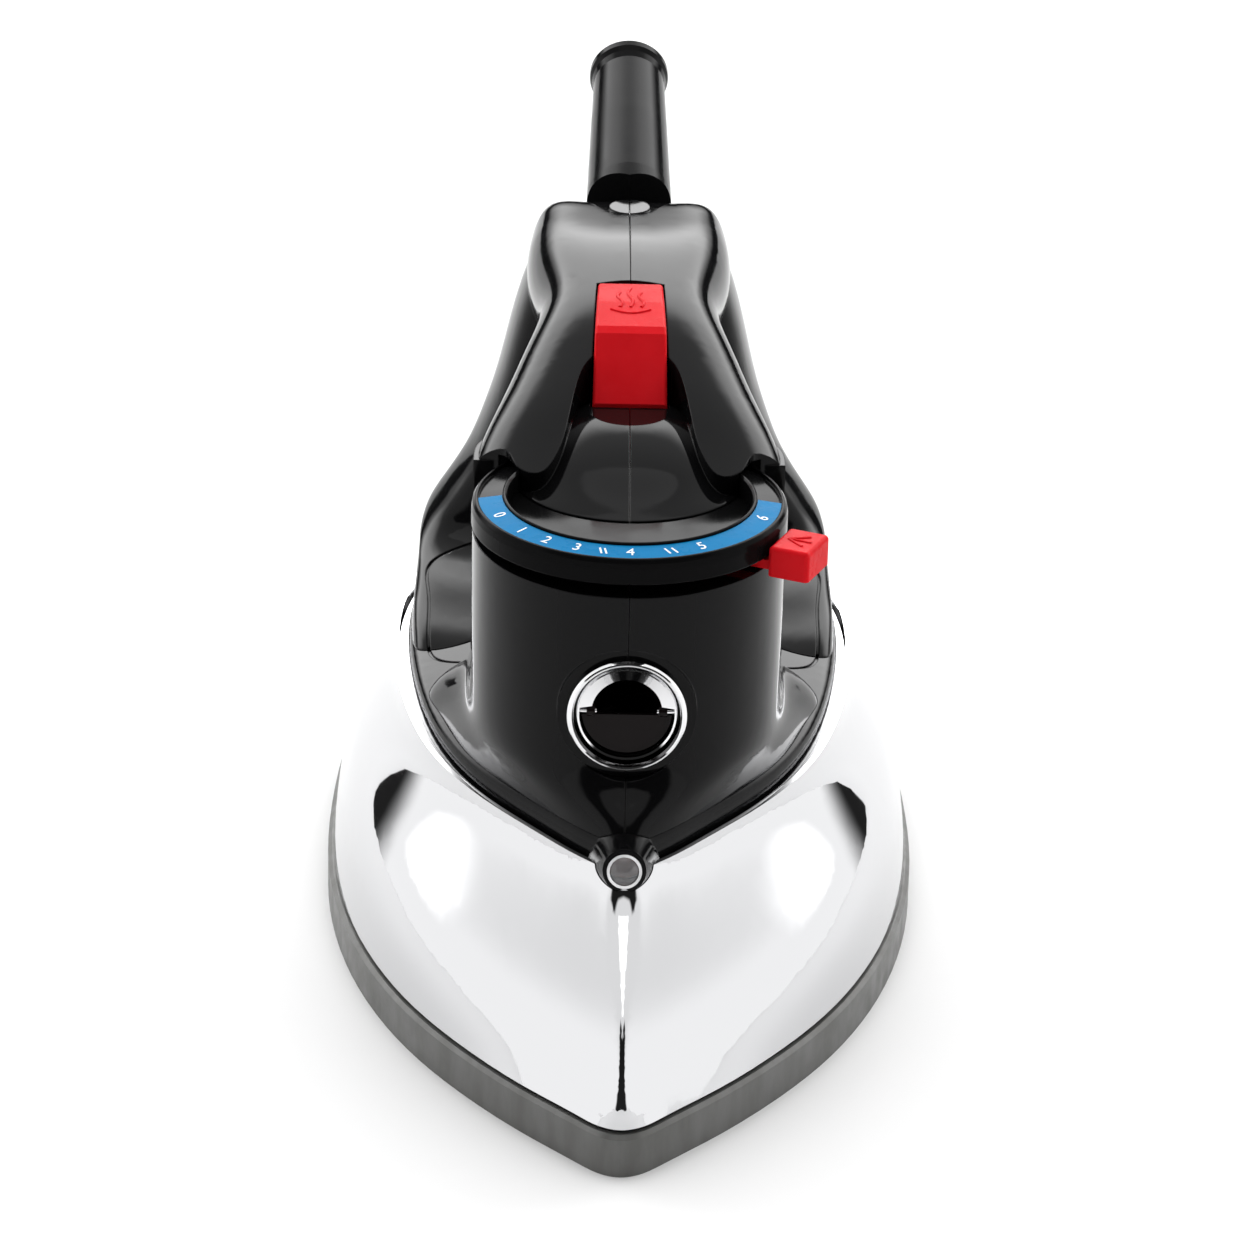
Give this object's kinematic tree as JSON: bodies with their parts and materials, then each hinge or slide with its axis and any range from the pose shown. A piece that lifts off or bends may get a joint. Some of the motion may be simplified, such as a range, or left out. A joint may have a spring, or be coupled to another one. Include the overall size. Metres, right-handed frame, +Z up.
{
  "type": "clothes iron",
  "caption": "Household steam iron: dark soleplate, polished chrome body, black two-part handle, arc temperature scale with lever, steam button, fill opening and pivoting cord guard.",
  "frame": {"origin": "centre of the ironing face", "axes": "+Z up from the ironing face, tip of the soleplate towards -Y, +X to the right seen from the tip"},
  "size_m": [0.1194, 0.2586, 0.1377],
  "materials": {
    "sole": "dark grey non-stick coating, satin",
    "chrome_body": "mirror",
    "chrome_trim": "mirror",
    "seal": "matt",
    "steel": "brushed",
    "brass_fitting": "turned",
    "ceramic_block": "matt",
    "tank": "natural translucent resin",
    "dark_tube": "gloss",
    "dark_flap": "smoked gloss",
    "black_gloss": "high gloss moulded",
    "black_guard": "gloss moulded",
    "blue_scale": "printed gloss",
    "red_plastic": "moulded gloss",
    "clear_lens": "clear",
    "neon_glass": "clear bulb",
    "lead_insulation": "silicone sleeve",
    "element_sheath": "oxidised"
  },
  "bodies": {
    "body": {"bimetal_blade": "steel", "body_bracket": "steel", "button_spring": "steel", "chrome_shell": "chrome_body", "dial_housing": "black_gloss", "fill_bezel": "chrome_trim", "fill_funnel": "chrome_trim", "fill_tube": "dark_tube", "flap_pins": "chrome_trim", "guard_pin": "steel", "handle_left": "black_gloss", "handle_right": "black_gloss", "handle_screws": "steel", "heat_shield": "steel", "heating_element": "element_sheath", "heel_plate": "black_gloss", "heel_screws": "steel", "internal_leads": "lead_insulation", "neon_lamp": "neon_glass", "pilot_bezel": "chrome_trim", "pilot_lens": "clear_lens", "rod_seal": "seal", "scale_plate": "blue_scale", "shell_gasket": "seal", "skirt": "black_gloss", "sole_studs": "steel", "soleplate": "sole", "steam_chamber_cover": "steel", "stud_nuts": "steel", "terminal_block": "ceramic_block", "terminal_bracket": "steel", "thermal_fuse": "steel", "thermostat_body": "ceramic_block", "thermostat_bush": "brass_fitting", "valve_body": "brass_fitting", "water_tank": "tank"},
    "temp_control": {"temp_lever": "red_plastic", "thermostat_shaft": "steel"},
    "steam_control": {"steam_button": "red_plastic", "valve_rod": "steel"},
    "flap": {"fill_flap": "dark_flap"},
    "guard": {"cord_guard": "black_guard"}
  },
  "joints": [
    {"name": "temperature", "type": "hinge", "parent": "body", "child": "temp_control", "pos_m": [0, -0.025, 0.096], "axis": [0, 0, 1], "range_deg": [-150, 12]},
    {"name": "steam_push", "type": "slide", "parent": "body", "child": "steam_control", "axis": [0, 0, -1], "range_m": [0, 0.003], "stiffness_N_per_m": 400, "deforming": ["button_spring"]},
    {"name": "flap_hinge", "type": "hinge", "parent": "body", "child": "flap", "pos_m": [0, -0.0524, 0.071], "axis": [-1, 0, 0], "range_deg": [0, 50], "stiffness_Nm_per_rad": 0.002},
    {"name": "guard_swivel", "type": "hinge", "parent": "body", "child": "guard", "pos_m": [0, 0.084, 0.115], "axis": [0, 0, 1], "range_deg": [-25, 25]}
  ]
}
